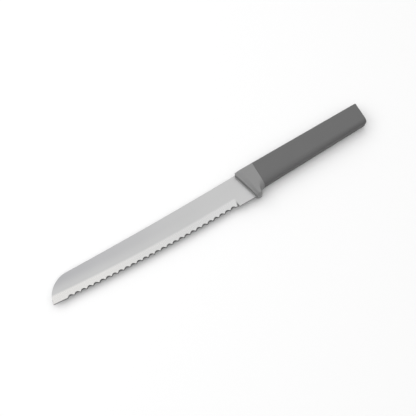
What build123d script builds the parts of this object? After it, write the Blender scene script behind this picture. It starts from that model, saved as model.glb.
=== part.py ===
# Bread knife with a serrated steel blade, a light collar with a finger guard, and a soft dark grip.
# It lies on its side: +X runs from the tip to the butt, +Y from the cutting edge to the spine, +Z up.
# The origin is the middle of its outline, on the surface it lies on. Sizes are in millimetres.
import os
from math import asin, atan2, cos, degrees, radians, sin, sqrt

from build123d import *

os.makedirs("parts", exist_ok=True)

# Whole knife
total_length = 329.3  # tip to butt
overall_height = 29.6  # top line of the handle to the lowest point of the finger guard
handle_thickness = 17.0

# Handle outline
grip_length = 112.3  # soft grip, from its seam with the bolster to the butt
bolster_length = 19.0  # along the top line, from the front corner to the seam
front_lean = 8.2  # how much further back the front face stands at the guard than at the top
seam_height = 23.5  # handle height at the seam
butt_height = 20.3  # handle height at the butt
belly_radius = 4.5  # rounding under the fingers
back_radius = 1.4  # rounding along the top line
butt_radius = 1.2
facet_width = 5.8  # sloping facet at the front of each side of the bolster, at the top line
facet_depth = 1.8  # how much the facet takes off each side at the front top corner

# Finger guard
guard_inset = 3.0  # guard's side below the handle's side, on each side
guard_length = 5.0  # level lowest part, behind the front face
guard_curve_length = 5.4  # from the level part back to the belly
guard_curve_ratio = 1.5  # radius of that hollow curve, as a share of its length
guard_corner_radius = 1.6
guard_edge_radius = 1.2
front_edge_radius = 0.8

# Blade outline
blade_thickness = 1.8
spine_step = 0.9  # top line of the handle to the spine
spine_hollow = 0.92  # how far the spine dips below its two ends
heel_depth = 27.85  # top line of the handle to the plain edge at the heel
edge_depth = 27.4  # top line of the handle to the lowest tooth
edge_radius = 1630.0  # long curve of the cutting edge
edge_low_setback = 55.45  # lowest tooth, measured forward from the guard
nose_length = 22.0  # rounded nose, from the tip back to the spine
nose_drop = 0.4
nose_radius = 23.5

# Ground edge
bevel_height = 7.0
edge_thickness = 0.3
plain_heel = 19.7  # unground length in front of the guard
heel_runout = 1.5
serration_pitch = 6.09
first_gullet = 17.2  # middle of the first gullet, from the tip
last_gullet_setback = 23.7  # nearest a gullet's middle comes to the guard
tooth_flat = 0.3  # level tip left between two gullets
gullet_depth = 1.25
wheel_tilt = 55.0  # degrees between the grinding wheel's axis and the blade's normal

# Tang, and how it is held
shoulder_web = 3.7  # bolster between the blade's shoulder and the core's neck
insert_step = 3.0  # how far the insert's lower corner rises towards the shoulder
tang_height = 13.0
tang_length = 92.0  # behind the shoulder
tang_end_radius = 3.0
pin_radius = 2.0
pin_count = 3
pin_spacing = 30.0
first_pin = 12.0  # from the seam

# Core and skin
skin_back = 2.2  # soft grip over the core: top line
skin_belly = 2.5
skin_side = 2.0
skin_butt = 4.0
neck_length = 5.0  # front end of the core, inside the bolster
neck_height = 15.0
neck_thickness = 9.0
core_edge_radius = 1.0

# Places that follow from those sizes
tip_x = -total_length / 2
butt_x = total_length / 2
top_y = overall_height / 2
guard_y = -overall_height / 2
mid_z = handle_thickness / 2
seam_x = butt_x - grip_length
front_top_x = seam_x - bolster_length
lean_slope = front_lean / overall_height
belly_slope = (seam_height - butt_height) / grip_length
grip_mid_y = top_y - (seam_height + butt_height) / 4
guard_x = front_top_x + lean_slope * heel_depth  # where the plain edge meets the guard


def front_x(y):
    """X of the bolster's front face at height y."""
    return front_top_x + lean_slope * (top_y - y)


def belly_y(x):
    """Y of the handle's straight belly line at x."""
    return top_y - seam_height + belly_slope * (x - seam_x)


# The cutting edge is an arc about this far-off centre.
edge_centre_x = guard_x - edge_low_setback
edge_centre_y = top_y - edge_depth + edge_radius


def edge_y(x):
    """Y of the line through the tooth tips at x."""
    return edge_centre_y - sqrt(edge_radius**2 - (x - edge_centre_x) ** 2)


ground_end_x = guard_x - plain_heel
shoulder_x = seam_x - neck_length - shoulder_web  # where the blade narrows to its tang
tang_end_x = shoulder_x + tang_length
pin_places = [(seam_x + first_pin + i * pin_spacing, grip_mid_y) for i in range(pin_count)]

# Outer form of the whole handle, cut later into bolster and grip
form_start_x = front_top_x - facet_width
front_normal = Vector(-overall_height, -front_lean, 0).normalized()
front_plane = Plane(origin=(front_top_x, top_y, 0), z_dir=front_normal)
facet_angle = atan2(facet_depth, facet_width)
crease_x = front_top_x + facet_width
crease_angle = atan2(front_lean, overall_height) / 2  # it leans half as far as the front face
crease_normal = Vector(-cos(crease_angle), -sin(crease_angle), 0)
left_facet = Plane(
    origin=(crease_x, top_y, handle_thickness),
    z_dir=crease_normal * sin(facet_angle) + Vector(0, 0, cos(facet_angle)),
)
right_facet = Plane(
    origin=(crease_x, top_y, 0),
    z_dir=crease_normal * sin(facet_angle) - Vector(0, 0, cos(facet_angle)),
)

# The guard is a thinner lobe that grows out of the rounded belly.
guard_rear_x = front_x(guard_y) + guard_length
guard_root_x = guard_rear_x + guard_curve_length
guard_root_y = belly_y(guard_root_x) + guard_edge_radius
guard_thickness = handle_thickness - 2 * guard_inset
inside_y = belly_y(seam_x) + belly_radius
with BuildPart() as guard_form:
    with BuildSketch(Plane.XY.offset(mid_z - guard_thickness / 2)):
        with BuildLine():
            Polyline(
                (guard_root_x, guard_root_y),
                (guard_root_x, inside_y),
                (form_start_x, inside_y),
                (form_start_x, guard_y),
                (guard_rear_x, guard_y),
            )
            RadiusArc(
                (guard_rear_x, guard_y),
                (guard_root_x, guard_root_y),
                guard_curve_length * guard_curve_ratio,
            )
        make_face()
    extrude(amount=guard_thickness)
    rear_corner = guard_form.edges().filter_by(Axis.Z).group_by(Axis.Y)[0].sort_by(Axis.X)[-1]
    fillet(rear_corner, guard_corner_radius)
    side_faces = guard_form.faces().filter_by(Axis.Z)
    rim = side_faces.edges().filter_by(lambda e: e.center().Y < guard_root_y)
    fillet(rim.filter_by(lambda e: e.center().X > form_start_x + front_edge_radius), guard_edge_radius)

with BuildPart() as handle_form:
    with BuildSketch():
        with BuildLine():
            Polyline(
                (form_start_x, top_y),
                (butt_x, top_y),
                (butt_x, top_y - butt_height),
                (form_start_x, belly_y(form_start_x)),
                close=True,
            )
        make_face()
    extrude(amount=handle_thickness)
    long_edges = handle_form.edges().filter_by(lambda e: e.length > grip_length)
    fillet(long_edges.group_by(Axis.Y)[0], belly_radius)
    fillet(long_edges.group_by(Axis.Y)[-1], back_radius)
    fillet(handle_form.faces().sort_by(Axis.X)[-1].edges(), butt_radius)
    add(guard_form.part)
    split(bisect_by=front_plane, keep=Keep.BOTTOM)
    split(bisect_by=left_facet, keep=Keep.BOTTOM)
    split(bisect_by=right_facet, keep=Keep.BOTTOM)
    front_face = handle_form.faces().sort_by(Axis(origin=(0, 0, 0), direction=front_normal))[-1]
    fillet(front_face.edges(), front_edge_radius)

seam_plane = Plane(origin=(seam_x, 0, 0), z_dir=(1, 0, 0))

# Blade: a stamped blank with its tang, ground on its left side only
with BuildPart() as blade:
    with BuildSketch(Plane.XY.offset(mid_z - blade_thickness / 2)):
        with BuildLine():
            spine_start = (tip_x + nose_length, top_y - nose_drop)
            spine_end = (front_x(top_y - spine_step), top_y - spine_step)
            spine_low = (
                (spine_start[0] + spine_end[0]) / 2,
                (spine_start[1] + spine_end[1]) / 2 - spine_hollow,
            )
            RadiusArc((tip_x, edge_y(tip_x)), spine_start, nose_radius)
            ThreePointArc(spine_start, spine_low, spine_end)
            tang_top = grip_mid_y + tang_height / 2
            tang_bottom = grip_mid_y - tang_height / 2
            Polyline(
                spine_end,
                (shoulder_x, top_y - spine_step),
                (shoulder_x, tang_top),
                (tang_end_x, tang_top),
                (tang_end_x, tang_bottom),
                (shoulder_x, tang_bottom),
                (shoulder_x, top_y - heel_depth + insert_step),
                (guard_x + heel_runout, top_y - heel_depth),
                (ground_end_x + heel_runout, top_y - heel_depth),
                (ground_end_x, edge_y(ground_end_x)),
            )
            RadiusArc(
                (ground_end_x, edge_y(ground_end_x)),
                (tip_x, edge_y(tip_x)),
                edge_radius,
            )
        make_face()
    extrude(amount=blade_thickness)
    tang_corners = blade.edges().filter_by(Axis.Z).group_by(Axis.X)[-1]
    fillet(tang_corners, tang_end_radius)
    # The bevel is a cone about the edge's centre, so it keeps one height all along the curve.
    bevel_start = asin((tip_x - bevel_height - edge_centre_x) / edge_radius)
    bevel_end = asin((ground_end_x - edge_centre_x) / edge_radius)
    bevel_plane = Plane(
        origin=(edge_centre_x, edge_centre_y, mid_z),
        x_dir=(sin(bevel_start), -cos(bevel_start), 0),
        z_dir=(-cos(bevel_start), -sin(bevel_start), 0),
    )
    bevel_slope = (blade_thickness - edge_thickness) / bevel_height
    bevel_overrun = 1.0
    with BuildSketch(bevel_plane):
        with BuildLine():
            Polyline(
                (edge_radius - bevel_height, blade_thickness / 2),
                (
                    edge_radius + bevel_overrun,
                    blade_thickness / 2 - bevel_slope * (bevel_height + bevel_overrun),
                ),
                (edge_radius + bevel_overrun, blade_thickness),
                (edge_radius - bevel_height, blade_thickness),
                close=True,
            )
        make_face()
    revolve(
        axis=Axis((edge_centre_x, edge_centre_y, 0), (0, 0, 1)),
        revolution_arc=degrees(bevel_end - bevel_start),
        mode=Mode.SUBTRACT,
    )
    # Each gullet is the hollow of a wheel that leans back, so it shows a narrow facet on the left side.
    # The wheel's radius is the one that leaves the tooth flat at that depth and lean.
    tilt = radians(wheel_tilt)
    half_gullet = (serration_pitch - tooth_flat) / 2
    wheel_sag = gullet_depth * cos(tilt)
    wheel_radius = (half_gullet**2 + wheel_sag**2) / (2 * wheel_sag)
    gullet_span = guard_x - last_gullet_setback - (tip_x + first_gullet)
    gullet_count = int(gullet_span / serration_pitch) + 1
    for i in range(gullet_count):
        gullet_x = tip_x + first_gullet + i * serration_pitch
        turn = asin((gullet_x - edge_centre_x) / edge_radius)
        inward = Vector(-sin(turn), cos(turn), 0)
        wheel_axis = inward * sin(tilt) + Vector(0, 0, cos(tilt))
        across_wheel = inward * cos(tilt) - Vector(0, 0, sin(tilt))
        gullet_top = Vector(gullet_x, edge_y(gullet_x), mid_z - blade_thickness / 2) + inward * gullet_depth
        with Locations(Plane(origin=gullet_top - across_wheel * wheel_radius, z_dir=wheel_axis)):
            Cylinder(wheel_radius, 2 * wheel_radius, mode=Mode.SUBTRACT)
    with Locations(pin_places):
        Hole(pin_radius)

# Pins through the tang and both halves of the core, flush with the core's sides
core_thickness = handle_thickness - 2 * skin_side
with BuildPart() as tang_pins:
    with BuildSketch(Plane.XY.offset(mid_z - core_thickness / 2)):
        with Locations(pin_places):
            Circle(pin_radius)
    extrude(amount=core_thickness)

# Two halves of the hard core that clamp the tang; the left one is the upper one as the knife lies
core_halves = {}
for half_name, outward in (("core_left", 1), ("core_right", -1)):
    with BuildPart() as core_half:
        core_end_x = butt_x - skin_butt
        with BuildSketch(Plane.XY.offset(mid_z)):
            with BuildLine():
                Polyline(
                    (seam_x, top_y - skin_back),
                    (core_end_x, top_y - skin_back),
                    (core_end_x, belly_y(core_end_x) + skin_belly),
                    (seam_x, belly_y(seam_x) + skin_belly),
                    close=True,
                )
            make_face()
        extrude(amount=outward * core_thickness / 2)
        outer_edges = core_half.faces().sort_by(Axis.Z)[-1 if outward > 0 else 0].edges()
        long_edges = outer_edges.filter_by(lambda e: e.length > grip_length / 2)
        fillet(long_edges.group_by(Axis.Y)[0], belly_radius - skin_belly)
        fillet(long_edges.group_by(Axis.Y)[-1], core_edge_radius)
        with BuildSketch(Plane.XY.offset(mid_z)):
            with Locations((seam_x - neck_length / 2, grip_mid_y)):
                Rectangle(neck_length, neck_height)
        extrude(amount=outward * neck_thickness / 2)
        add(blade.part, mode=Mode.SUBTRACT)
        add(tang_pins.part, mode=Mode.SUBTRACT)
    core_halves[half_name] = core_half

# Bolster: the collar and guard in front of the seam, moulded round the blade and the core's neck
with BuildPart() as bolster:
    add(handle_form.part)
    split(bisect_by=seam_plane, keep=Keep.BOTTOM)
    add(blade.part, mode=Mode.SUBTRACT)
    for core_half in core_halves.values():
        add(core_half.part, mode=Mode.SUBTRACT)

# Grip: the soft skin over the core, closed at the butt
with BuildPart() as grip:
    add(handle_form.part)
    split(bisect_by=seam_plane, keep=Keep.TOP)
    add(blade.part, mode=Mode.SUBTRACT)
    add(tang_pins.part, mode=Mode.SUBTRACT)
    for core_half in core_halves.values():
        add(core_half.part, mode=Mode.SUBTRACT)

pieces = {"blade": blade, "bolster": bolster, "tang_pins": tang_pins, "grip": grip, **core_halves}
for name, piece in pieces.items():
    piece.part.label = name
    export_step(piece.part, f"parts/{name}.step")
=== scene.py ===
import math

import bmesh
import bpy
import numpy as np
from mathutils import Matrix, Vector


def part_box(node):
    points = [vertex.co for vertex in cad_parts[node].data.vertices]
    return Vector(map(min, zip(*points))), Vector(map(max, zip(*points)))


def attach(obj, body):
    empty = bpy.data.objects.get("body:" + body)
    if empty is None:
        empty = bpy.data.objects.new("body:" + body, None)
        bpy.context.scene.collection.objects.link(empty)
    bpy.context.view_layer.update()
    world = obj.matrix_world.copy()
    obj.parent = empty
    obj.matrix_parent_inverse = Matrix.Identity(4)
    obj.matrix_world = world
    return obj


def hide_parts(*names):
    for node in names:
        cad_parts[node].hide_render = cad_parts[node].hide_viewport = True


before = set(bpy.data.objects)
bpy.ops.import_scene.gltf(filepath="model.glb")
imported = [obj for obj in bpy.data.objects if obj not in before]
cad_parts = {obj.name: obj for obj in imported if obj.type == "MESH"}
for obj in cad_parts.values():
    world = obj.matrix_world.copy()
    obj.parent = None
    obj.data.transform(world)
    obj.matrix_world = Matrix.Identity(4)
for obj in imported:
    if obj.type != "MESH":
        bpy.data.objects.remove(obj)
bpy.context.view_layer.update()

mm = 0.001
bladeLow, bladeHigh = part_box("blade")
gripLow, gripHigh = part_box("grip")
pinsLow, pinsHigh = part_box("tang_pins")

# Outlines below are in millimetres: x back from the blade's tip, y up from the handle's top line, and z out
# of the knife's middle plane. The knife lies on its right side.
tipX, topY = bladeLow.x, gripHigh.y
midZ = (gripLow.z + gripHigh.z) / 2
sideHalf = (gripHigh.z - gripLow.z) / 2 / mm
seamAt = (gripLow.x - tipX) / mm
buttAt = (gripHigh.x - tipX) / mm
tangEndAt = (bladeHigh.x - tipX) / mm
tangMiddle = ((pinsLow.y + pinsHigh.y) / 2 - topY) / mm


def linearColour(hexText):
    # sRGB hex to linear light, channel by channel
    channels = np.array([int(hexText[i:i + 2], 16) for i in (1, 3, 5)]) / 255
    low, high = channels / 12.92, ((channels + 0.055) / 1.055) ** 2.4
    return (*np.where(channels <= 0.04045, low, high).tolist(), 1.0)


def addNode(tree, kind, settings=None, **links):
    # one node; settings are its own properties, links are inputs by name (spaces as _) or number (as i0, i1)
    node = tree.nodes.new(kind)
    for key, value in (settings or {}).items():
        setattr(node, key, value)
    for key, value in links.items():
        numbered = key[0] == "i" and key[1:].isdigit()
        socket = node.inputs[int(key[1:]) if numbered else key.replace("_", " ")]
        if isinstance(value, bpy.types.NodeSocket):
            tree.links.new(value, socket)
        else:
            socket.default_value = value
    return node


def newMaterial(name, **values):
    # a fresh material; values go straight onto the Principled shader's own sockets
    material = bpy.data.materials.new(name)
    material.use_nodes = True
    shader = material.node_tree.nodes["Principled BSDF"]
    for key, value in values.items():
        shader.inputs[key.replace("_", " ")].default_value = value
    return material, material.node_tree, shader


def smoothStep(low, high, x):
    # 0 below low, 1 above high, an S curve between
    t = np.clip((x - low) / (high - low), 0, 1)
    return t * t * (3 - 2 * t)


def inFrame(x, y, z):
    # outline millimetres to the frame's metres
    return np.stack(np.broadcast_arrays(tipX + x * mm, topY + y * mm, midZ + z * mm), -1)


def gridPiece(name, points, materials, slots=None, sharpDegrees=30):
    # points[k, m] is point m of the closed loop at station k. Quads join each loop to the next, and each end
    # is closed by quads between the two halves of its loop, point m facing point last - m.
    stations, loop, _ = points.shape
    index = np.arange(stations * loop).reshape(stations, loop)
    onward = np.roll(index, -1, axis=1)
    walls = np.stack([index[:-1], onward[:-1], onward[1:], index[1:]], -1).reshape(-1, 4)
    half = np.arange(loop // 2 - 1)
    ladder = np.stack([half, half + 1, loop - 2 - half, loop - 1 - half], -1)
    faces = np.vstack([walls, ladder, ladder[:, ::-1] + index[-1, 0]])
    mesh = bpy.data.meshes.new(name)
    mesh.from_pydata(points.reshape(-1, 3).tolist(), [], faces.tolist())
    for material in materials:
        mesh.materials.append(material)
    if slots is not None:
        endSlots = np.zeros(2 * len(ladder))
        mesh.polygons.foreach_set("material_index", np.append(slots.reshape(-1), endSlots).astype(np.int32))
    tidy = bmesh.new()
    tidy.from_mesh(mesh)
    bmesh.ops.recalc_face_normals(tidy, faces=tidy.faces)
    tidy.to_mesh(mesh)
    tidy.free()
    mesh.polygons.foreach_set("use_smooth", np.ones(len(mesh.polygons), dtype=bool))
    mesh.set_sharp_from_angle(angle=math.radians(sharpDegrees))
    piece = bpy.data.objects.new(name, mesh)
    bpy.context.scene.collection.objects.link(piece)
    return piece


viewpoint = {
    "azimuth": -30.8,
    "elevation": 76.0,
    "distance": 0.805,
    "halfWidth": 0.1905,  # half of what the frame takes in at that distance
    "aim": (-0.00135, 0.00225, 0.0),
}


def addCamera(cfg):
    azimuth, elevation = math.radians(cfg["azimuth"]), math.radians(cfg["elevation"])
    back = Vector((
        math.sin(azimuth) * math.cos(elevation),
        -math.cos(azimuth) * math.cos(elevation),
        math.sin(elevation),
    ))
    data = bpy.data.cameras.new("viewCamera")
    data.sensor_width = 36.0
    data.lens = data.sensor_width / 2 * cfg["distance"] / cfg["halfWidth"]
    camera = bpy.data.objects.new("viewCamera", data)
    camera.location = Vector(cfg["aim"]) + back * cfg["distance"]
    camera.rotation_euler = (-back).to_track_quat("-Z", "Y").to_euler()
    bpy.context.scene.collection.objects.link(camera)
    bpy.context.scene.camera = camera


addCamera(viewpoint)
print("camera placed")

studio = {
    "floorSize": 6.0,
    "floorColour": "#EEEEEE",
    "skyHigh": 1.0,  # strength of the diffuser overhead
    "skyLow": 0.15,  # strength at the horizon, which darkens every upright face
    "skyLean": (0.10, 0.22, 0.97),  # the diffuser's middle, which the flat of the blade mirrors
    "skyFade": (0.30, 0.90),  # cosines of the angles from that middle where the strength is low and high
    "backdrop": 0.93,
    "boxSize": 2.2,
    "boxPlace": (-0.40, 0.40, 1.6),
    "boxPower": 24.0,
}


def addStudio(cfg):
    scene = bpy.context.scene
    scene.view_settings.view_transform = "Standard"
    world = bpy.data.worlds.new("paleStudio")
    world.use_nodes = True
    tree = world.node_tree
    diffuser = tree.nodes["Background"]
    diffuser.inputs["Color"].default_value = (1, 1, 1, 1)
    direction = addNode(tree, "ShaderNodeTexCoord").outputs["Generated"]
    middle = Vector(cfg["skyLean"]).normalized()
    nearness = addNode(tree, "ShaderNodeVectorMath", {"operation": "DOT_PRODUCT"}, i0=direction, i1=middle)
    strength = addNode(
        tree, "ShaderNodeMapRange", {"interpolation_type": "SMOOTHSTEP"}, Value=nearness.outputs["Value"],
        From_Min=cfg["skyFade"][0], From_Max=cfg["skyFade"][1], To_Min=cfg["skyLow"], To_Max=cfg["skyHigh"],
    )
    tree.links.new(strength.outputs["Result"], diffuser.inputs["Strength"])
    # behind the knife stands a plain pale backdrop, seen but casting no light
    backdrop = addNode(tree, "ShaderNodeBackground", Color=(1, 1, 1, 1), Strength=cfg["backdrop"])
    seen = addNode(tree, "ShaderNodeLightPath").outputs["Is Camera Ray"]
    both = addNode(
        tree, "ShaderNodeMixShader", i0=seen, i1=diffuser.outputs[0], i2=backdrop.outputs[0],
    )
    tree.links.new(both.outputs[0], tree.nodes["World Output"].inputs["Surface"])
    scene.world = world
    bpy.ops.mesh.primitive_plane_add(size=cfg["floorSize"])
    floor = bpy.context.object
    floor.name = "floor"
    paper, _, _ = newMaterial("matte white paper", Base_Color=linearColour(cfg["floorColour"]), Roughness=0.9)
    floor.data.materials.append(paper)
    data = bpy.data.lights.new("softbox", "AREA")
    data.size = cfg["boxSize"]
    data.energy = cfg["boxPower"]
    softbox = bpy.data.objects.new("softbox", data)
    softbox.location = cfg["boxPlace"]
    softbox.rotation_euler = (-Vector(cfg["boxPlace"])).to_track_quat("-Z", "Y").to_euler()
    softbox.visible_glossy = False  # the steel mirrors the even diffuser alone, as in a light tent
    scene.collection.objects.link(softbox)


addStudio(studio)
print("studio lit")

steel = {
    "flatColour": "#CCCCCC",
    "noseColour": "#BBBBBD",  # the flat is darker towards the nose and the spine
    # painted reflection: the bevel's brighter colour, a little less bright towards the heel
    "bevelReflectionColour": "#E6E5E3",
    "bevelHeelReflectionColour": "#DBDBDB",
    # painted shade: the darker grey of the gullets, the edges and the spine
    "edgeShadeColour": "#A4A4A4",
    "pinColour": "#B9BABB",
    "bandFade": (6.3, 8.9),  # mm in from the edge, where the bevel's polish gives way to the flat's satin
    "noseSpineFade": (9.0, 19.0),
    "flatRoughness": 0.34,
    "bevelRoughness": 0.27,
    "lineSpacing": 0.35,  # mm between grinding lines; real ones, near 0.08, are too fine to show
    "lineLength": 14.0,
    "lineDepth": 0.0015,
    "clouding": 45.0,  # mm, slow change of tone along the blade
    "toneSwing": 0.035,  # share by which lines and clouding shift the tone either way
    "roughSwing": 0.12,  # how far the lines spread the roughness, lowest to highest
    "cutRoughness": 0.32,
    "pinRoughness": 0.35,
}


def grindLines(tree, place):
    # noise drawn out from spine to edge, and a slow clouding over it
    across, along = 1 / (steel["lineSpacing"] * mm), 1 / (steel["lineLength"] * mm)
    stretched = addNode(tree, "ShaderNodeMapping", Vector=place, Scale=(across, along, along))
    lines = addNode(tree, "ShaderNodeTexNoise", Vector=stretched.outputs["Vector"], Scale=1.0, Detail=2.0)
    cloud = addNode(tree, "ShaderNodeTexNoise", Vector=place, Scale=1 / (steel["clouding"] * mm), Detail=1.0)
    return lines.outputs["Fac"], cloud.outputs["Fac"]


def finishSteel(tree, shader, colour, lines, cloud, roughness):
    # the lines and the clouding shift the tone by a few percent, and the lines stand a little proud
    shade = addNode(
        tree, "ShaderNodeMath", {"operation": "MULTIPLY_ADD"}, i0=lines, i1=0.4, i2=cloud,
    )
    gain = addNode(
        tree, "ShaderNodeMapRange", Value=shade.outputs[0], From_Min=0.4, From_Max=1.0,
        To_Min=1 - steel["toneSwing"], To_Max=1 + steel["toneSwing"],
    ).outputs["Result"]
    toned = addNode(tree, "ShaderNodeVectorMath", {"operation": "SCALE"}, i0=colour, Scale=gain)
    tree.links.new(toned.outputs["Vector"], shader.inputs["Base Color"])
    rough = addNode(
        tree, "ShaderNodeMath", {"operation": "MULTIPLY_ADD"}, i0=lines, i1=steel["roughSwing"], i2=roughness,
    )
    tree.links.new(rough.outputs[0], shader.inputs["Roughness"])
    bump = addNode(tree, "ShaderNodeBump", Height=lines, Strength=1.0, Distance=steel["lineDepth"] * mm)
    tree.links.new(bump.outputs["Normal"], shader.inputs["Normal"])


def bladeSteel():
    # Martensitic stainless steel, ground across the blade: the eye gets a soft grey satin, brighter on the
    # bevel, with faint lines from spine to edge. The bevel's brighter colour is painted reflection. The mesh
    # says how far each point is from edge and tip.
    material, tree, shader = newMaterial("satin-ground stainless steel", Metallic=1.0)
    place = addNode(tree, "ShaderNodeTexCoord").outputs["Object"]
    fromEdge = addNode(tree, "ShaderNodeAttribute", {"attribute_name": "fromEdge"}).outputs["Fac"]
    fromTip = addNode(tree, "ShaderNodeAttribute", {"attribute_name": "fromTip"}).outputs["Fac"]
    onBevel = addNode(tree, "ShaderNodeAttribute", {"attribute_name": "groundSide"}).outputs["Fac"]

    def ramp(value, start, end, low, high):
        return addNode(
            tree, "ShaderNodeMapRange", {"interpolation_type": "SMOOTHSTEP"}, Value=value,
            From_Min=start, From_Max=end, To_Min=low, To_Max=high,
        ).outputs["Result"]

    def product(a, b):
        return addNode(tree, "ShaderNodeMath", {"operation": "MULTIPLY"}, i0=a, i1=b).outputs[0]

    def blend(share, first, second):
        return addNode(
            tree, "ShaderNodeMix", {"data_type": "RGBA"}, Factor=share, i6=first, i7=second,
        ).outputs[2]

    length = blade["groundEnd"]
    lines, cloud = grindLines(tree, place)
    # the flat's colour darkens towards the nose and the spine
    towardsNoseAndSpine = product(ramp(fromEdge, *steel["noseSpineFade"], 0.0, 1.0), ramp(fromTip, 0.0, length, 1.0, 0.0))
    flatTone = blend(towardsNoseAndSpine, linearColour(steel["flatColour"]), linearColour(steel["noseColour"]))
    # the bevel's finer grind is real, but its brighter colour here is painted reflection
    bandReflectionTone = blend(
        ramp(fromTip, 0.0, length, 0.0, 1.0),
        linearColour(steel["bevelReflectionColour"]), linearColour(steel["bevelHeelReflectionColour"]),
    )
    band = product(ramp(fromEdge, *steel["bandFade"], 1.0, 0.0), onBevel)
    tone = blend(band, flatTone, bandReflectionTone)
    smoother = steel["bevelRoughness"] - steel["flatRoughness"]
    smoothest = steel["flatRoughness"] - steel["roughSwing"] / 2
    roughness = addNode(
        tree, "ShaderNodeMath", {"operation": "MULTIPLY_ADD"}, i0=band, i1=smoother, i2=smoothest,
    ).outputs[0]
    finishSteel(tree, shader, tone, lines, cloud, roughness)
    return material


def plainSteel(name, colour, roughness):
    # one even tone under the same lines: the eye gets a darker grey on the wheel-cut gullets and edges, which
    # is painted shade, and a brighter one on the turned pins
    material, tree, shader = newMaterial(name, Metallic=1.0)
    place = addNode(tree, "ShaderNodeTexCoord").outputs["Object"]
    tone = addNode(tree, "ShaderNodeRGB")
    tone.outputs[0].default_value = linearColour(colour)
    finishSteel(tree, shader, tone.outputs[0], *grindLines(tree, place), roughness - steel["roughSwing"] / 2)
    return material


plastic = {
    "mottleSize": 30.0,  # mm
    "grainRoughness": 0.06,  # how far the grain shifts the roughness either way
}


def mouldedPlastic(name, colour, roughness, ior, grain, grainDepth, mottle):
    # Injection-moulded: the eye gets an even matte colour, broken by the fine grain that a sparked mould
    # leaves. grain and grainDepth are in mm, mottle is the share by which the colour shifts.
    material, tree, shader = newMaterial(name, IOR=ior)
    place = addNode(tree, "ShaderNodeTexCoord").outputs["Object"]
    fine = addNode(tree, "ShaderNodeTexNoise", Vector=place, Scale=1 / (grain * mm), Detail=2.0)
    slowScale = 1 / (plastic["mottleSize"] * mm)
    slow = addNode(tree, "ShaderNodeTexNoise", Vector=place, Scale=slowScale, Detail=2.0)
    base = Vector(linearColour(colour)[:3])
    blend = addNode(
        tree, "ShaderNodeMix", {"data_type": "RGBA"}, Factor=slow.outputs["Fac"],
        i6=(*(base * (1 - mottle)), 1.0), i7=(*(base * (1 + mottle)), 1.0),
    )
    tree.links.new(blend.outputs[2], shader.inputs["Base Color"])
    rough = addNode(
        tree, "ShaderNodeMapRange", Value=fine.outputs["Fac"], From_Min=0.3, From_Max=0.7,
        To_Min=roughness - plastic["grainRoughness"], To_Max=roughness + plastic["grainRoughness"],
    )
    tree.links.new(rough.outputs["Result"], shader.inputs["Roughness"])
    bump = addNode(tree, "ShaderNodeBump", Height=fine.outputs["Fac"], Strength=1.0, Distance=grainDepth * mm)
    tree.links.new(bump.outputs["Normal"], shader.inputs["Normal"])
    return material


handle = {
    "seamHeight": 23.5,
    "buttHeight": 20.3,
    "backRadius": 1.3,
    "bellySeam": 8.0,  # rounding under the fingers: how far it reaches up the side at the seam
    "bellyButt": 4.0,  # and at the butt
    "bellyDepth": 4.5,  # how far it reaches across the thickness
    "buttRadius": 1.1,
    "buttCorner": 1.1,
    "seamEdge": 0.3,  # rounding of the grip's front edge, which shows as a fine dark line
}
collar = {
    "length": 19.0,
    "frontLean": 8.2,  # how much further back the front face stands at the guard than at the top
    "guardDepth": 29.6,
    "cornerRadius": 0.8,
    "heelRadius": 1.0,
    "rise": 65.0,  # degrees, steepest slope of the guard's rear side
    "throatRadius": 5.93,
    "facetWidth": 5.8,
    "ribFan": 1.7,  # power that crowds the ribs' lower ends towards the front
    "facetDepth": 1.8,
    "frontRadius": 0.6,
    "guardHeight": 2.6,
    "guardRounding": 4.0,
    "seamEdge": 0.1,
}
frontTopAt = seamAt - collar["length"]
leanSlope = collar["frontLean"] / collar["guardDepth"]
blade = {
    "thickness": 1.8,
    "spineStep": 0.9,
    "spineHollow": 0.92,
    "noseLength": 22.0,
    "noseDrop": 0.4,
    "noseRadius": 23.5,
    "edgeRadius": 1630.0,
    "edgeLowSetback": 55.45,  # lowest tooth, forward from the guard
    "edgeDepth": 27.4,
    "heelDepth": 27.85,
    "heelRunout": 1.5,
    "plainHeel": 19.7,
    "insertStep": 3.0,
    "shoulderSetback": 8.7,  # forward from the seam
    "tangHeight": 13.0,
    "tangRadius": 3.0,
    "bevelHeight": 7.0,
    "edgeThickness": 0.3,
    "runOut": 2.2,
    "firstGullet": 17.2,
    "pitch": 6.09,
    "gullets": 28,
    "gulletDepth": 1.25,
    "toothFlat": 0.3,
    "wheelTilt": 55.0,
    "easedEdge": 0.25,
    "creaseWidth": 1.2,  # the bevel's crease is a soft one, this far to either side
    "pinRadius": 2.0,
    "pins": 3,
    "drillLength": 6.0,
}
blade["guardAt"] = frontTopAt + leanSlope * blade["heelDepth"]
blade["groundEnd"] = blade["guardAt"] - blade["plainHeel"]

satinSteel = bladeSteel()
# the cut steel's darker grey is painted shade
shadedCutSteel = plainSteel("wheel-cut edge steel, darkened as painted shade", steel["edgeShadeColour"], steel["cutRoughness"])
pinSteel = plainSteel("turned stainless pin", steel["pinColour"], steel["pinRoughness"])
# the real grains are under 0.3 mm, and they are drawn at 0.45 to 0.6 to show
collarPlastic = mouldedPlastic(
    "light grey moulded polypropylene", "#808080",
    roughness=0.45, ior=1.49, grain=0.5, grainDepth=0.004, mottle=0.02,
)
gripElastomer = mouldedPlastic(
    "dark grey soft-touch elastomer", "#626262",
    roughness=0.74, ior=1.50, grain=0.45, grainDepth=0.010, mottle=0.03,
)
corePlastic = mouldedPlastic(
    "black moulded polypropylene", "#1C1C1D",
    roughness=0.50, ior=1.49, grain=0.6, grainDepth=0.004, mottle=0.02,
)
print("materials made")


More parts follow.
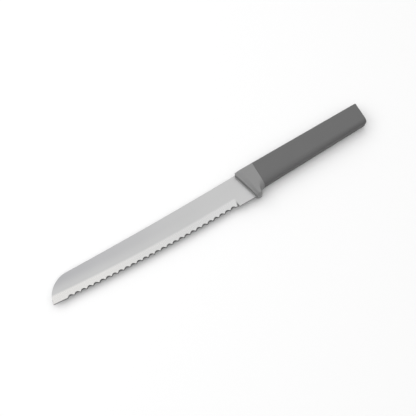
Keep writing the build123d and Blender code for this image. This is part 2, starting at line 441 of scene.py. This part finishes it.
def bladeStations(cfg):
    # distances from the tip where sections stand: close on the nose and in the gullets, wide on the heel and
    # the tang
    firstTooth = cfg["firstGullet"] - cfg["pitch"] / 2
    lastTooth = firstTooth + cfg["gullets"] * cfg["pitch"]
    perGullet = 18  # sections across one gullet
    shoulder = seamAt - cfg["shoulderSetback"]
    return np.concatenate([
        firstTooth * np.linspace(0.02, 1, 34)[:-1] ** 1.5,
        np.linspace(firstTooth, lastTooth, cfg["gullets"] * perGullet + 1),
        np.linspace(cfg["groundEnd"], cfg["groundEnd"] + cfg["runOut"], 10),
        np.linspace(cfg["groundEnd"] + 5, cfg["guardAt"] + cfg["heelRunout"], 6),
        [shoulder - 0.01, shoulder],
        np.linspace(shoulder + 4, tangEndAt - cfg["tangRadius"], 12),
        tangEndAt - cfg["tangRadius"] * (1 - np.sin(np.linspace(0.1, 1, 8) * math.pi / 2)),
    ])


def makeBlade(cfg):
    x = bladeStations(cfg)
    radius, centreX = cfg["edgeRadius"], cfg["guardAt"] - cfg["edgeLowSetback"]
    centreY = radius - cfg["edgeDepth"]
    shoulder = seamAt - cfg["shoulderSetback"]
    onTang = x >= shoulder
    # tang end: both long sides turn in by a quarter circle
    cut = np.clip((x - tangEndAt) / cfg["tangRadius"] + 1, 0, 1)
    cornerIn = cfg["tangRadius"] * (1 - np.sqrt(1 - cut**2))

    # cutting edge: the long arc, then a short step down to the plain heel, then the tang's lower side
    arcY = centreY - np.sqrt(radius**2 - (x - centreX) ** 2)
    heelShare = np.clip((x - cfg["groundEnd"]) / cfg["heelRunout"], 0, 1)
    edgeY = arcY + (-cfg["heelDepth"] - arcY) * heelShare
    heelEnd = cfg["guardAt"] + cfg["heelRunout"]
    edgeY = edgeY + cfg["insertStep"] * np.clip((x - heelEnd) / (shoulder - heelEnd), 0, 1)
    edgeY = np.where(onTang, tangMiddle - cfg["tangHeight"] / 2 + cornerIn, edgeY)

    # spine: the nose is an arc from the tip, then one shallow hollow arc runs back to the bolster
    noseStart = np.array([0, centreY - math.sqrt(radius**2 - centreX**2)])
    noseEnd = np.array([cfg["noseLength"], -cfg["noseDrop"]])
    chord = noseEnd - noseStart
    chordLength = math.hypot(*chord)
    inward = np.array([chord[1], -chord[0]]) / chordLength
    noseCentre = (noseStart + noseEnd) / 2 + inward * math.sqrt(cfg["noseRadius"] ** 2 - chordLength**2 / 4)
    startAngle = math.atan2(*(noseStart - noseCentre)[::-1]) % (2 * math.pi)
    endAngle = math.atan2(*(noseEnd - noseCentre)[::-1])
    angle = startAngle + (endAngle - startAngle) * np.clip(x / cfg["noseLength"], 0, 1)
    onNose = x < cfg["noseLength"]
    spineX = np.where(onNose, noseCentre[0] + cfg["noseRadius"] * np.cos(angle), x)
    spineEnd = frontTopAt + leanSlope * cfg["spineStep"]
    run = np.clip((x - cfg["noseLength"]) / (spineEnd - cfg["noseLength"]), 0, 1)
    # a straight line between its ends, less a parabola of the hollow's depth
    hollowY = -cfg["noseDrop"] - (cfg["spineStep"] - cfg["noseDrop"]) * run
    hollowY = hollowY - 4 * cfg["spineHollow"] * run * (1 - run)
    spineY = np.where(onNose, noseCentre[1] + cfg["noseRadius"] * np.sin(angle), hollowY)
    spineY = np.where(onTang, tangMiddle + cfg["tangHeight"] / 2 - cornerIn, spineY)
    # the way in from the outline: towards the nose's centre there, straight down elsewhere
    inX = np.where(onNose, -np.cos(angle), 0.0)
    inY = np.where(onNose, -np.sin(angle), -1.0)

    def fromArc(px, py):
        # distance in from the long arc of the edge
        return radius - np.hypot(px - centreX, py - centreY)

    # gullets: the wheel's hollow is an ellipse in plan, and climbs back from the edge as it rises. The plain
    # edge near the tip has the same narrow facet, with no hollow.
    tilt = math.radians(cfg["wheelTilt"])
    sag = cfg["gulletDepth"] * math.cos(tilt)
    wheel = (((cfg["pitch"] - cfg["toothFlat"]) / 2) ** 2 + sag**2) / (2 * sag)
    number = np.clip(np.round((x - cfg["firstGullet"]) / cfg["pitch"]), 0, cfg["gullets"] - 1)
    aside = np.clip(np.abs(x - cfg["firstGullet"] - number * cfg["pitch"]) / wheel, 0, 0.999)
    reach = cfg["gulletDepth"] - wheel / math.cos(tilt) * (1 - np.sqrt(1 - aside**2))
    reach = np.maximum(reach, 0)
    climb = math.tan(tilt)
    slope = (cfg["thickness"] - cfg["edgeThickness"]) / cfg["bevelHeight"]
    facetTop = (cfg["edgeThickness"] * climb + reach) / (1 - slope * climb)

    # rows of one side, from the spine to the edge, as distances in from the edge
    eased = cfg["easedEdge"] * np.clip(x / 2, 0.1, 1)
    startX, startY = spineX + inX * eased, spineY + inY * eased
    top = fromArc(startX, startY)
    low = fromArc(x, edgeY)
    bevelTop = low + np.minimum(cfg["bevelHeight"], 0.9 * (top - low))
    facetTop = low + facetTop * np.clip((bevelTop - low) / 3, 0.05, 1)
    facetTop = np.maximum(facetTop, low + reach + 0.02)
    edgeIn = low + np.where(x < cfg["groundEnd"], reach, 0)
    facetTop = np.where(x < cfg["groundEnd"], facetTop, edgeIn + cfg["easedEdge"])

    def between(start, end, shares):
        return start[:, None] + (end - start)[:, None] * shares

    softTop = bevelTop + np.minimum(cfg["creaseWidth"], 0.5 * (top - bevelTop))
    softLow = bevelTop - np.minimum(cfg["creaseWidth"], 0.3 * (bevelTop - facetTop))
    rows = np.concatenate([
        between(top, softTop, np.linspace(0, 1, 8)),
        bevelTop[:, None],
        between(softLow, facetTop, np.linspace(0, 1, 6)),
        between(facetTop, edgeIn, np.linspace(0, 1, 4)[1:]),
    ], axis=1)
    share = (top[:, None] - rows) / (top - low)[:, None]
    rowX = startX[:, None] + (x - startX)[:, None] * share
    rowY = startY[:, None] + (edgeY - startY)[:, None] * share

    # height of the ground side above the plain side: full thickness, bevel or facet, whichever is lowest, and
    # on the plain heel full thickness with an eased lower edge
    depth = fromArc(rowX, rowY)
    bevelRise = cfg["edgeThickness"] + slope * depth
    facetRise = (depth - reach[:, None]) / climb
    ground = np.minimum(np.minimum(cfg["thickness"], bevelRise), np.maximum(facetRise, 0.02))
    heelRise = np.minimum(cfg["thickness"], cfg["thickness"] - cfg["easedEdge"] + depth - low[:, None])
    fade = smoothStep(cfg["groundEnd"], cfg["groundEnd"] + cfg["runOut"], x)[:, None]
    rise = np.maximum(ground + (heelRise - ground) * fade, 0.02)

    # eased spine corner: three points round a small quarter circle
    eased = np.minimum(eased, rise[:, 0] * 0.3)
    quarter = np.array([0, math.pi / 6, math.pi / 3])
    cornerDrop = eased[:, None] * (1 - np.sin(quarter))
    cornerBack = eased[:, None] * (1 - np.cos(quarter))
    cornerX = spineX[:, None] + inX[:, None] * cornerBack
    cornerY = spineY[:, None] + inY[:, None] * cornerBack
    leftRise = np.concatenate([rise[:, :1] - cornerDrop, rise], axis=1)
    rightRise = np.concatenate([cornerDrop, np.zeros_like(rise)], axis=1)
    planX = np.concatenate([cornerX, rowX], axis=1)
    planY = np.concatenate([cornerY, rowY], axis=1)
    base = -cfg["thickness"] / 2
    left = inFrame(planX, planY, base + leftRise)
    right = inFrame(planX, planY, base + rightRise)[:, ::-1]
    points = np.concatenate([left, right], axis=1)

    # cut steel, its darker grey painted shade, shows on the facets, along the edge and on the spine; all else
    # is the satin steel
    sideRows = planX.shape[1]
    facetRows = 4
    facetStart = sideRows - facetRows
    slots = np.zeros((len(x) - 1, 2 * sideRows), dtype=int)
    slots[:, facetStart:sideRows] = 1
    slots[:, 0] = slots[:, 2 * sideRows - 2:] = 1
    piece = gridPiece("ground_blade", points, [satinSteel, shadedCutSteel], slots, sharpDegrees=16)

    planDepth = fromArc(planX, planY)
    ones = np.ones_like(planDepth)
    onGround = ones * (1 - fade)
    for name, leftValues, rightValues in (
        ("fromEdge", planDepth, planDepth), ("fromTip", planX, planX), ("groundSide", onGround, 0 * ones),
    ):
        values = np.concatenate([leftValues, rightValues[:, ::-1]], axis=1)
        attribute = piece.data.attributes.new(name, "FLOAT", "POINT")
        attribute.data.foreach_set("value", values.reshape(-1).astype(np.float32))
    drillTang(piece, cfg)
    return piece


def drillTang(piece, cfg):
    # round holes for the pins, cut from the tang
    radius = cfg["pinRadius"] * mm
    for x in np.linspace(pinsLow.x + radius, pinsHigh.x - radius, cfg["pins"]):
        bpy.ops.mesh.primitive_cylinder_add(
            vertices=48, radius=radius, depth=cfg["drillLength"] * mm,
            location=(x, topY + tangMiddle * mm, midZ),
        )
        drill = bpy.context.object
        cutter = piece.modifiers.new("pinHole", "BOOLEAN")
        cutter.operation = "DIFFERENCE"
        cutter.object = drill
        applyModifiers(piece)
        bpy.data.objects.remove(drill)


def applyModifiers(piece):
    # the piece keeps the mesh that its modifiers make, and the modifiers go
    graph = bpy.context.evaluated_depsgraph_get()
    finished = bpy.data.meshes.new_from_object(piece.evaluated_get(graph))
    piece.modifiers.clear()
    piece.data = finished


groundBlade = makeBlade(blade)
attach(groundBlade, "root")
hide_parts("blade")
print("blade ground")


def shellLoops(topLine, bottomLine, half, backRadius, bellyHeight, bellyDepth, inset, shift):
    # Each station's rib runs from topLine to bottomLine, and its closed loop is a rounded box round the rib:
    # small quarter circles along the back, quarter ellipses at the belly. inset shrinks the loop on all
    # sides, and shift moves it in plan.
    rib = bottomLine - topLine
    length = np.linalg.norm(rib, axis=1)
    unit = rib / length[:, None]
    quarter = np.linspace(0, math.pi / 2, 8)
    belly = np.linspace(math.pi / 2, 0, 18)
    side = np.linspace(0, 1, 12)[1:-1]
    back = np.maximum(backRadius - inset, 0.05)[:, None]
    height = np.maximum(bellyHeight - inset, 0.05)[:, None]
    depth = np.maximum(bellyDepth - inset, 0.05)[:, None]
    half = (half - inset)[:, None]
    start, end = inset[:, None], (length - inset)[:, None]
    flatStart, flatEnd = start + back, end - height
    down = np.concatenate([
        start + back * (1 - np.cos(quarter)),
        flatStart + (flatEnd - flatStart) * side,
        end - height * (1 - np.cos(belly)),
    ], axis=1)
    out = np.concatenate([
        half - back * (1 - np.sin(quarter)),
        np.broadcast_to(half, (len(half), len(side))),
        half - depth * (1 - np.sin(belly)),
    ], axis=1)
    plan = (topLine + shift)[:, None] + unit[:, None] * down[..., None]
    left = inFrame(plan[..., 0], plan[..., 1], out)
    right = inFrame(plan[..., 0], plan[..., 1], -out)[:, ::-1]
    return np.concatenate([left, right], axis=1)


def makeGrip(cfg):
    # sections stand square to the knife; the seam end is eased by a hair and the butt rounds over
    edge, corner, radius = cfg["seamEdge"], cfg["buttCorner"], cfg["buttRadius"]
    over = np.linspace(0, math.pi / 2, 7)
    x = np.concatenate([
        seamAt + edge * (1 - np.cos(over)),
        np.linspace(seamAt + 2, buttAt - corner, 40),
        buttAt - corner * (1 - np.sin(np.linspace(0, math.pi / 2, 16)[1:])),
    ])
    seamInset = edge * (1 - np.sqrt(1 - np.clip(1 - (x - seamAt) / edge, 0, 1) ** 2))
    small = np.clip((x - buttAt) / radius + 1, 0, 1)
    large = np.clip((x - buttAt) / corner + 1, 0, 1)
    buttInset = radius * (1 - np.sqrt(1 - small**2))
    cornerInset = corner * (1 - np.sqrt(1 - large**2))
    share = (x - seamAt) / (buttAt - seamAt)
    bellyY = -cfg["seamHeight"] + (cfg["seamHeight"] - cfg["buttHeight"]) * share
    topLine = np.stack([x, np.zeros_like(x)], -1)
    bottomLine = np.stack([x, bellyY + np.maximum(cornerInset - buttInset, 0)], -1)
    same = np.ones_like(x)
    points = shellLoops(
        topLine, bottomLine, sideHalf * same, cfg["backRadius"] * same,
        cfg["bellySeam"] + (cfg["bellyButt"] - cfg["bellySeam"]) * share, cfg["bellyDepth"] * same,
        seamInset + buttInset, np.zeros((1, 2)),
    )
    return gridPiece("soft_grip", points, [gripElastomer])


def alongPath(headings, lengths, start, shares):
    # a path of short straight steps whose headings change evenly over each stretch; returns points at those
    # shares of its length, so that equal turns make arcs
    steps = 60
    turn = np.concatenate([np.linspace(a, b, steps) for a, b in headings])
    stride = np.repeat(np.array(lengths) / steps, steps)
    walk = np.cumsum(np.stack([np.cos(turn), np.sin(turn)], -1) * stride[:, None], axis=0)
    walk = np.vstack([[0, 0], walk]) + start
    travelled = np.concatenate([[0], np.cumsum(stride)]) / stride.sum()
    return np.stack([np.interp(shares, travelled, walk[:, i]) for i in (0, 1)], -1)


def makeCollar(cfg):
    lean = math.atan(leanSlope)
    corner = cfg["cornerRadius"]
    frontNormal = np.array([-math.cos(lean), -math.sin(lean)])
    # the ribs start one edge radius behind the front face, and the rounded front edge is added as extra loops
    frontTop = np.array([frontTopAt, 0.0]) - frontNormal * cfg["frontRadius"]
    cornerShares, lineShares = np.linspace(0, 1, 10), np.linspace(0, 1, 60)[1:]

    # top line: up the front face, round the corner, and level to the seam
    upHeading = math.pi / 2 + lean
    cornerStart = frontTop + np.array([math.sin(lean), -math.cos(lean)]) * corner
    topLine = alongPath([(upHeading, 0)], [corner * upHeading], cornerStart, cornerShares)
    topLine[:, 1] -= topLine[-1, 1]
    levelX = topLine[-1, 0] + (seamAt - topLine[-1, 0]) * lineShares
    topLine = np.vstack([topLine, np.stack([levelX, np.zeros_like(levelX)], -1)])

    # bottom line: down the front face, round the corner, along the guard, round its heel and up the hollow
    # throat to the seam. The straight part of the rise takes up what height the arcs leave.
    downHeading = lean - math.pi / 2
    rise = math.radians(cfg["rise"])
    seamSlope = math.atan((handle["seamHeight"] - handle["buttHeight"]) / (buttAt - seamAt))
    drop = cfg["guardDepth"] - handle["seamHeight"]
    arcDrop = cfg["heelRadius"] * (1 - math.cos(rise))
    arcDrop += cfg["throatRadius"] * (math.cos(seamSlope) - math.cos(rise))
    straight = (drop - arcDrop) / math.sin(rise)
    rearRun = cfg["heelRadius"] * math.sin(rise) + straight * math.cos(rise)
    rearRun += cfg["throatRadius"] * (math.sin(rise) - math.sin(seamSlope))
    arcStartDepth = cfg["guardDepth"] - corner * (1 - math.sin(lean))
    arcStartAt = frontTop[0] + leanSlope * arcStartDepth
    level = seamAt - rearRun - arcStartAt - corner * math.cos(lean)
    headings = [(downHeading, 0), (0, 0), (0, rise), (rise, rise), (rise, seamSlope)]
    lengths = [
        -corner * downHeading, level, cfg["heelRadius"] * rise, straight,
        cfg["throatRadius"] * (rise - seamSlope),
    ]
    # the ribs start closer together along the guard than along the top, so the facet narrows downwards
    turned = lengths[0] / sum(lengths)
    fanned = turned + (1 - turned) * lineShares ** cfg["ribFan"]
    bottomShares = np.concatenate([turned * cornerShares, fanned])
    bottomLine = alongPath(headings, lengths, np.zeros(2), bottomShares)
    bottomLine += np.array([seamAt, -handle["seamHeight"]]) - bottomLine[-1]

    # thickness: the front of each side slopes in towards the blade
    travel = topLine[:, 0] - frontTop[0]
    half = sideHalf - cfg["facetDepth"] * np.clip(1 - travel / cfg["facetWidth"], 0, 1)
    towardsSeam = smoothStep(0.45, 1.0, np.linspace(0, 1, len(travel)))
    bellyHeight = cfg["guardHeight"] + (handle["bellySeam"] - cfg["guardHeight"]) * towardsSeam
    bellyDepth = cfg["guardRounding"] + (handle["bellyDepth"] - cfg["guardRounding"]) * towardsSeam

    def capLoops(station, radius, normal, count):
        # loops round a quarter circle beyond one end: each is smaller and stands further out
        turn = np.linspace(0, math.pi / 2, count + 1)[1:]
        return np.full(count, station), radius * (1 - np.cos(turn)), radius * np.sin(turn)[:, None] * normal

    last = len(half) - 1
    frontStation, frontInset, frontShift = capLoops(0, cfg["frontRadius"], frontNormal, 6)
    seamStation, seamInset, seamShift = capLoops(last, cfg["seamEdge"], np.array([1.0, 0.0]), 4)
    seamShift = seamShift - np.array([cfg["seamEdge"], 0.0])
    order = np.concatenate([frontStation[::-1], np.arange(last + 1), seamStation])
    inset = np.concatenate([frontInset[::-1], np.zeros(last + 1), seamInset])
    lastShift = [[-cfg["seamEdge"], 0]]
    shift = np.vstack([frontShift[::-1], np.zeros((last, 2)), lastShift, seamShift])
    points = shellLoops(
        topLine[order], bottomLine[order], half[order], np.full(len(order), handle["backRadius"]),
        bellyHeight[order], bellyDepth[order], inset, shift,
    )
    return gridPiece("guard_collar", points, [collarPlastic])


softGrip = makeGrip(handle)
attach(softGrip, "root")
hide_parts("grip")
guardCollar = makeCollar(collar)
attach(guardCollar, "root")
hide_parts("bolster")
print("handle moulded")

# the hidden pieces keep their CAD shape
hiddenFinish = {"core_left": corePlastic, "core_right": corePlastic, "tang_pins": pinSteel}
for nodeName, finish in hiddenFinish.items():
    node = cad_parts[nodeName]
    if not node.material_slots:
        node.data.materials.append(finish)
    for materialSlot in node.material_slots:
        materialSlot.material = finish
print("core and pins finished")
